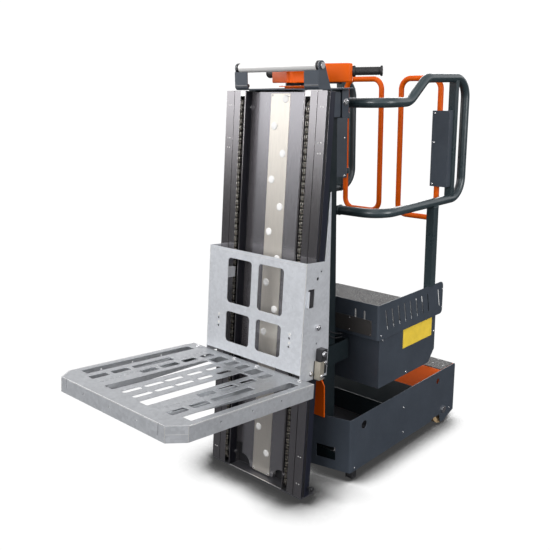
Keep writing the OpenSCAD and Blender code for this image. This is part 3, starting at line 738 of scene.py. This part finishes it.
for s_ in (-1, 1):
    for x, y in ((356, -705), (310, -767)):
        weld_line(bm, M(s_ * (x - 0.6), y + 0.6, TZ - 4), M(s_ * (x - 0.6), y + 0.6, TZ - 57), 0.0014, 0.003, seed=x)
    add_prism(bm, [(0, 0), (76, 0), (76, 0.9), (0, 0.9)], 0, 0.5,
              (lambda u, v, h, q=s_: M(q * (310 + 46 * u / 77) + q * h * 0.8, -767 + 62 * u / 77 - h * 0.6, TZ - 30 + v)))
finish_piece(bm, "tray_corner_seams", "tray", "silver", 60)
bm = B()
for s_ in (-1, 1):
    for x in (66, 300):
        hex_bolt(bm, M(s_ * x, -90, TZ - 0.4), TOP, 8, 4.6, 9.5, turn=0.3 * x)
        f = frame_fn(M(s_ * x, -90, TZ - 12), TOP)
        lathe(bm, [(3.6, -0.4), (4, 0.2), (4, 11.8)], 16, f)
        hex_bolt(bm, M(s_ * x, -90, TZ - 3), tuple(-v for v in TOP), 8, 5, 9, turn=0.2)
o = finish_piece(bm, "tray_hex_bolts", "tray", "bright", 30)
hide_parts("tray_bolts")

# apron --------------------------------------------------------------------------
# painted highlight: silver lines along the apron's side bends and its top edge, with round pressings
bm = B()
for s_ in (-1, 1):
    sweep(bm, [M(s_ * 274.4, -58.3, 552 + 450.5 * k / 30) for k in range(31)], 0.0021, 10)
    for z in (690, 655):
        f = frame_fn(M(s_ * 206 + 3, -60, z + 17), M_axis(0, -1, 0))
        lathe(bm, [(6.2, 0.0), (6.0, 0.9), (4.8, 1.3), (3.6, 0.9), (3.2, 0.2)], 20, f)
add_box(bm, -268, 268, -60.35, -59.9, 992, 993.2, M)
finish_piece(bm, "apron_bend_highlight_lines", "tray_carriage", "silver", 60)
bm = B()
for s_ in (-1, 1):
    hex_bolt(bm, M(s_ * 284.2, 28, 737), (s_, 0, 0), 8, 5, 11)
    hex_bolt(bm, M(s_ * 276.2, 8, 545), (s_, 0, 0), 8, 5, 11, turn=0.4)
    hex_bolt(bm, M(s_ * 276.2, 96, 560), (s_, 0, 0), 6, 4, 8, turn=0.4)
hex_bolt(bm, M(306, 60, 590), (1, 0, 0), 8, 5, 10, turn=0.1)
hex_bolt(bm, M(308.4, 38, 538), (1, 0, 0), 7, 4, 9, turn=0.3)
finish_piece(bm, "carriage_hex_bolts", "tray_carriage", "bright", 30)
bm = B()
f = frame_fn(M(306, 42, 631), (1, 0, 0))
ring = [(6.2, 0), (9.6, 0), (9.6, 1.4), (8.8, 1.9), (6.2, 1.9)]
rr_ = [[bm.verts.new(f(q * math.cos(math.pi * k / 14), q * math.sin(math.pi * k / 14), z)) for k in range(28)] for q, z in ring]
for i in range(5):
    for k in range(28):
        bm.faces.new((rr_[i][k], rr_[i][(k + 1) % 28], rr_[(i + 1) % 5][(k + 1) % 28], rr_[(i + 1) % 5][k]))
finish_piece(bm, "lock_collar", "tray_carriage", "black", 30)
bm = B()
f = frame_fn(M(0, 42, 631), (1, 0, 0))
prof = [(6, 274), (6, 308.2), (9, 308.4), (11, 309.5), (11, 311.2), (10, 312.2), (11, 313.4), (11, 317), (9.2, 319.2), (5, 320)]
lathe(bm, prof, 28, f)
o = finish_piece(bm, "latch_knob", "latch", "bright", 30)
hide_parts("latch_plunger")
# angle bracket that carries the lock
bm = B()
add_prism(bm, [(276.5, 24), (308.3, 24), (308.3, 50), (306.3, 50), (306.3, 26.2), (276.5, 26.2)], 522.2, 598, lambda u, v, h: M(u, v, h))
finish_piece(bm, "lock_angle", "tray_carriage", "zinc", 30, bevel=0.0006)

# mast ----------------------------------------------------------------------------
# painted shade: near-black film on the rail side faces and the rear flange faces
bm = B()
for s_ in (-1, 1):
    a, b = sorted((s_ * 272.0, s_ * 272.35))
    add_box(bm, a, b, 18.3, 49.7, 0.5, MAST_H - 0.5, M)
    add_box(bm, a, b, 0.3, 3.7, 0.5, MAST_H - 0.5, M)
    a, b = sorted((s_ * 230.05, s_ * 230.5))
    add_box(bm, a, b, 50.4, 81.6, 0.5, MAST_H - 0.5, M)
finish_piece(bm, "rail_side_shade_film", "cage", "navy", 30)
# painted shade: near-black film on the inner walls of the rail channels
bm = B()
for s_ in (-1, 1):
    a, b = sorted((s_ * 159.3, s_ * 159.95))
    add_box(bm, a, b, 0.6, 39.6, 0.5, MAST_H - 0.5, M)
finish_piece(bm, "inner_wall_shade_film", "cage", "wall", 30)
# closing blocks above the top sprockets
bm = B()
for s_ in (-1, 1):
    add_box(bm, *sorted((s_ * 163, s_ * 197)), 6, 70, MAST_H - 24, MAST_H - 3, M)
    hex_bolt(bm, M(s_ * 180, 6, MAST_H - 13), (0, -1, 0), 4, 2.4, 5.5)
finish_piece(bm, "channel_end_blocks", "cage", "black", 30, bevel=0.0012)
# painted shade: near-black sheet at the bottom of the groove in each rail side
bm = B()
for s_ in (-1, 1):
    a, b = sorted((s_ * 268.05, s_ * 268.4))
    add_box(bm, a, b, 4.2, 17.8, 0.5, MAST_H - 0.5, M)
    a, b = sorted((s_ * 159.7, s_ * 160.0))
finish_piece(bm, "rail_groove_shade", "cage", "groove", 30)
bm = B()
for s_ in (-1, 1):
    # bright strip that bridges the chain slot at the top and the bottom edge line, a painted highlight
    add_box(bm, *sorted((s_ * 164.2, s_ * 190)), 0.0, 3.9, MAST_H - 22, MAST_H - 0.2, M)
    for z in (MAST_H - 60, MAST_H - 195, MAST_H - 235, 60, 180):
        for x in (244, 256):
            button_screw(bm, M(s_ * x, -0.05, z), M_axis(0, -1, 0), 2.6, 1.2)
    # painted highlight: thin silver line along the top edge of each rail face
    add_box(bm, *sorted((s_ * 164, s_ * 268)), 0.2, 3, MAST_H, MAST_H + 0.5, M)
# painted highlight: thin silver line along the bottom edge
add_box(bm, -158, 158, 0.3, 4, 0.05, 0.9, M)
finish_piece(bm, "mast_trim", "cage", "silver", 30)
bm = B()
for x in (-43, 43):
    for z in (14, MAST_H - 16):
        button_screw(bm, M(x, 39.9, z), M_axis(0, -1, 0), 4, 1.8)
for s_ in (-1, 1):
    for z in (52, MAST_H - 66):
        f = frame_fn(M(s_ * 191.5, 38, z), (s_, 0, 0))
        lathe(bm, [(14, 0), (14, 2), (12.5, 3)], 24, f)
        hex_bolt(bm, M(s_ * 194, 38, z), (s_, 0, 0), 9, 5)
    hex_bolt(bm, M(s_ * 164.1, 26, MAST_H - 92), (s_, 0, 0), 6, 4, 8)
finish_piece(bm, "mast_screws", "cage", "bright", 30)
bm = B()
for k in range(15):
    x = 27 if k % 2 == 0 else -27
    f = frame_fn(M(x, 40, 106 + 108.8 * k), M_axis(0, -1, 0))
    lathe(bm, [(16, 0), (15.9, 0.8), (15.0, 1.7), (12.5, 2.3), (8, 2.7), (3, 2.85)], 32, f)
o = finish_piece(bm, "cap_buttons", "cage", "cap", 40)
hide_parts("plate_caps")
# knob of the mast foot screw
bm = B()
for s_ in (-1, 1):
    lathe(bm, [(4, 0), (4, 22)], 16, frame_fn(M(s_ * 272.4, 40, 40), (s_, 0, 0)))
    lathe(bm, [(9, 0), (10, 1.5), (10, 9), (8, 12), (4, 12.6)], 20, frame_fn(M(s_ * 290, 40, 40), (s_, 0, 0)))
    for z in (58, 84):
        button_screw(bm, M(s_ * 272.3, 44, z), (s_, 0, 0), 4, 2)
finish_piece(bm, "foot_knobs", "cage", "black", 30)

# head ------------------------------------------------------------------------------
bm = B()
for s_ in (-1, 1):
    f = frame_fn(P(s_ * 208, 185, 1761), (s_, 0, 0))
    lathe(bm, [(19.15, 0), (19.2, 1), (19.2, 12), (18.4, 13), (9, 13)], 40, f)
finish_piece(bm, "roller_end_caps", "roller", "black", 30)
bm = B()
for s_ in (-1, 1):
    hex_bolt(bm, P(s_ * 208, 200, 1677), (0, 0, 1), 8.5, 5.6, 11.5, turn=0.25 * s_)
    hex_bolt(bm, P(s_ * 198, 371, 1620), (s_, 0, 0), 12, 6.5, 15, turn=0.2)
    for y, z in ((492, 600), (691, 388), (925, 527)):
        button_screw(bm, P(s_ * 325, y, z), (s_, 0, 0), 6, 2.8)
    for z in (1232, 1424, 1556):
        button_screw(bm, P(s_ * 258, 966, z), (0, -1, 0), 5.2, 2.2)
    for y in (-225, -75, 75, 225):
        button_screw(bm, P(s_ * 288, 705.5 + y, 647.6), (0, 0, 1), 4.2, 2.3)
    for y, z in ((467, 628), (975, 640), (975, 730)):
        button_screw(bm, P(s_ * 335, y, z), (s_, 0, 0), 4, 1.8)
    for x in (120, 176):
        button_screw(bm, P(s_ * x, 468, 600), (0, -1, 0), 5, 2.2)
o = finish_piece(bm, "cage_hex_screws", "cage", "bright", 30)
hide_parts("cage_screws")
bm = B()
for s_ in (-1, 1):
    for y, z in ((667, 218), (669, 91)):
        button_screw(bm, P(s_ * 335, y, z), (s_, 0, 0), 5, 2.0)
    for x, y in ((250, 1068), (306, 1068), (250, 1122)):
        button_screw(bm, P(s_ * x, y, 297.4), (0, 0, 1), 4.1, 2.1)
    button_screw(bm, P(s_ * 335, 286, 66), (s_, 0, 0), 4, 1.8)
    button_screw(bm, P(s_ * 335, 1100, 66), (s_, 0, 0), 4, 1.8)
o = finish_piece(bm, "panel_button_screws", "chassis", "bright", 30)
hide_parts("panel_screws")
bm = B()
add_box(bm, 325.1, 326.55, 655.8, 903.2, 512.8, 605.2, P)
finish_piece(bm, "plain_yellow_panel", "cage", "yellow", 30, bevel=0.0004)
bm = B()
add_box(bm, 61.2, 300.8, 440.0, 441.9, 624.2, 695.8, P)
finish_piece(bm, "plain_dark_plate", "cage", "bronze", 30, bevel=0.0004)
bm = B()
for x in (68, 181, 294):
    for z in (631, 689):
        button_screw(bm, P(x, 440.0, z), (0, -1, 0), 2.6, 1.1)
finish_piece(bm, "plate_rivets", "cage", "bright", 30)

# painted shade: near-black sheets behind the chain openings at the mast foot
bm = B()
for s_ in (-1, 1):
    add_box(bm, *sorted((s_ * 66, s_ * 159.5)), 66, 67.5, 1, 84, M)
finish_piece(bm, "foot_opening_shade", "cage", "groove", 30)
# rounded bends of the head brackets, in a lighter, glossier grey than the slate: painted highlight on the bends
bm = B()
for s_ in (-1, 1):
    sweep(bm, [P(s_ * (154.6 + 70.6 * k / 12), 171.3, 1689) for k in range(13)], 0.0078, 24)
finish_piece(bm, "bracket_bend_highlights", "cage", "bend", 60)
bm = B()
for s_ in (-1, 1):
    f = frame_fn(P(s_ * 226, 185, 1761), (s_, 0, 0))
    lathe(bm, [(12.6, -0.5), (12.9, 0.3), (12.9, 2.6), (11.6, 3.4), (7.4, 3.4)], 28, f, 1)
    lathe(bm, [(7.0, 3.0), (7.0, 4.0), (5.6, 4.8), (2, 5)], 24, f, 0)
finish_piece(bm, "axle_end_nuts", "cage", ["bright", "dark"], 30)

# steering head -----------------------------------------------------------------------
H0 = P(0, 290, 0)


def rot30(x, y, z, s_):
    c, d = math.cos(math.radians(30)), math.sin(math.radians(30))
    return P(s_ * (x * c - y * d), 290 + x * d + y * c, z)


bm = B()
for s_ in (-1, 1):
    f = lambda x, y, h, q=s_: rot30(x, y, h, q)
    prof = [(-30, 36), (-30, -36), (198, -36), (226, -30), (235, -16), (235, 16), (226, 30), (198, 36)]
    lo, hi = [], []
    rings = []
    for h, inset in ((1699, 3), (1702, 0), (1766, 0), (1770.5, 2), (1773, 7)):
        ring = []
        for u, v in prof:
            k = 1 - inset / 36.0
            ring.append(bm.verts.new(f(u - (inset if u > 200 else 0), v * k, h)))
        rings.append(ring)
    n = len(prof)
    for a, b in zip(rings, rings[1:]):
        for k in range(n):
            bm.faces.new((a[k], a[(k + 1) % n], b[(k + 1) % n], b[k]))
    bm.faces.new(rings[0])
    bm.faces.new(rings[-1])
    # end collar of the handle tube
    lathe(bm, [(22, -1.5), (22, 3.5), (19, 5)], 24, frame_fn(rot30(232, 0, 1741, s_), rot30(233, 0, 1741, s_) - rot30(232, 0, 1741, s_)))
lathe(bm, [(36, 1698), (36, 1770), (33, 1774.5), (24, 1776)], 48, lambda x, y, h: P(x, 290 + y, h))
o = finish_piece(bm, "handlebar_housing", "steering", "orange", 28, bevel=0.0025, segs=3)
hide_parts("handlebar")
bm = B()
prof = []
for k in range(7):
    z = 1687.6 + k * 1.7
    prof.append((38 if k % 2 else 43, z))
lathe(bm, [(30, 1687.5)] + prof + [(30, 1699)], 40, lambda x, y, h: P(x, 290 + y, h))
finish_piece(bm, "steering_bellows", "steering", "rubber", 60)
bm = B()
for s_ in (-1, 1):
    ax = (rot30(10, 0, 0, s_) - rot30(0, 0, 0, s_)).normalized()
    f = frame_fn(rot30(235.4, 0, 1741, s_), ax)
    prof = [(11.05, 0), (21, 0), (22, 1.5), (22, 9), (20.5, 11), (15.5, 12.5)]
    for k in range(14):
        z = 15 + k * 6.6
        prof += [(15.6, z), (16.4, z + 1.2), (16.4, z + 3.6), (15.6, z + 4.8)]
    prof += [(15.5, 109.5), (20, 111.5), (20.6, 113), (20.6, 117.5), (18, 119.6), (11, 120)]
    lathe(bm, prof, 36, f)
o = finish_piece(bm, "ribbed_grips", "steering", "rubber", 35)
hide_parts("handle_grips")
bm = B()
for s_ in (-1, 1):
    for u in (60, 190):
        button_screw(bm, rot30(u, 0, 1772.6, s_), (0, 0, 1), 5, 2)
finish_piece(bm, "housing_screws", "steering", "bright", 30)
bm = B()
for x, y in ((34, -20), (-34, -20), (30, 28), (-30, 28)):
    button_screw(bm, P(x * 1.5, 290 + y * 1.4, 1687), (0, 0, 1), 4, 1.6)
finish_piece(bm, "disc_screws", "cage", "bright", 30)

# weld beads of the cage --------------------------------------------------------------
bm = B()
for s_ in (-1, 1):
    for z in (1162, 1712):
        for y in (1000, 1026):
            weld_line(bm, P(s_ * 306, y, z - 19), P(s_ * 306, y, z + 12), 0.0022, seed=z + y)
    weld_line(bm, P(s_ * 306, 848, 1142), P(s_ * 306, 888, 1142), 0.0026, seed=3)
    weld_line(bm, P(s_ * 344, 848, 1142), P(s_ * 344, 888, 1142), 0.0026, seed=5)
    weld_ring(bm, P(s_ * 112, 452, 1162), (1, 0, 0), 0.0206, 0.003, seed=1)
    weld_ring(bm, P(s_ * 112, 452, 1616), (1, 0, 0), 0.0206, 0.003, seed=2)
    for z in (1240, 1270, 1520, 1550):
        weld_line(bm, P(s_ * 284, 984, z), P(s_ * 284, 996, z), 0.0018, seed=z)
finish_piece(bm, "cage_weld_beads", "cage", "teal", 60)
# floor flanges of the rear posts
bm = B()
for s_ in (-1, 1):
    add_box(bm, *sorted((s_ * 304, s_ * 331)), 838, 898, 650.2, 655.5, P)
finish_piece(bm, "post_flanges", "cage", "slate", 30, bevel=0.0012)

# base ---------------------------------------------------------------------------------
for side, s_ in (("right", 1), ("left", -1)):
    bm = B()
    f = frame_fn(P(s_ * 320.2, 1040, 75), (s_, 0, 0))
    for k in range(5):
        a = 2 * math.pi * k / 5
        hex_bolt(bm, f(16 * math.cos(a), 16 * math.sin(a), -0.5), (s_, 0, 0), 4, 3)
    lathe(bm, [(11, -0.5), (11, 2.6), (9.6, 3.8), (4, 4.2)], 28, f)
    finish_piece(bm, "wheel_hub_bolts_" + side, "rear_wheel_" + side, "bright", 30)
# painted shade: near-black sheets inside the base, over its interior faces and edges
bm = B()
add_prism(bm, [(738.6, 164.6), (876, 231.8), (875.4, 233.1), (738.0, 165.9)], -327, 327, lambda u, v, h: P(h, u, v))
add_box(bm, -265, 265, 734.6, 735.8, 61, 164.5, P)
add_box(bm, -326, 326, 733.4, 742.5, 164.4, 165.6, P)
add_box(bm, -261.5, 261.5, 260.8, 261.8, 61, 118.9, P)
add_box(bm, -261.5, 261.5, 261.5, 268.9, 118.1, 118.9, P)
for s_ in (-1, 1):
    add_box(bm, *sorted((s_ * 134.1, s_ * 134.8)), 216.5, 274, 61, 299, P)
    add_box(bm, *sorted((s_ * 135, s_ * 331.5)), 268.5, 333.8, 66.1, 66.8, P)
finish_piece(bm, "base_interior_shades", "chassis", "liner", 30)
# cables from the mast to the platform box
bm = B()
CABLES = [[(190.0, 266.5, 682.1), (190.0, 294.1, 661.2), (190.0, 329.1, 644.5), (190.0, 375.5, 631.1)], [(190.0, 266.7, 660.4), (190.0, 294.4, 638.3), (190.0, 329.5, 622.3), (190.0, 375.7, 616.1)]]
for row in CABLES:
    pts = [P(*p) for p in row]
    fine = []
    for i in range(len(pts) - 1):
        a, b = pts[i], pts[i + 1]
        pa, pb = pts[max(i - 1, 0)], pts[min(i + 2, len(pts) - 1)]
        for k in range(6):
            t = k / 6
            fine.append(0.5 * ((2 * a) + (b - pa) * t + (2 * pa - 5 * a + 4 * b - pb) * t * t + (3 * a - pa - 3 * b + pb) * t ** 3))
    fine.append(pts[-1])
    sweep(bm, fine, 0.0022, 10)
finish_piece(bm, "mast_cables", "cage", "black", 60)
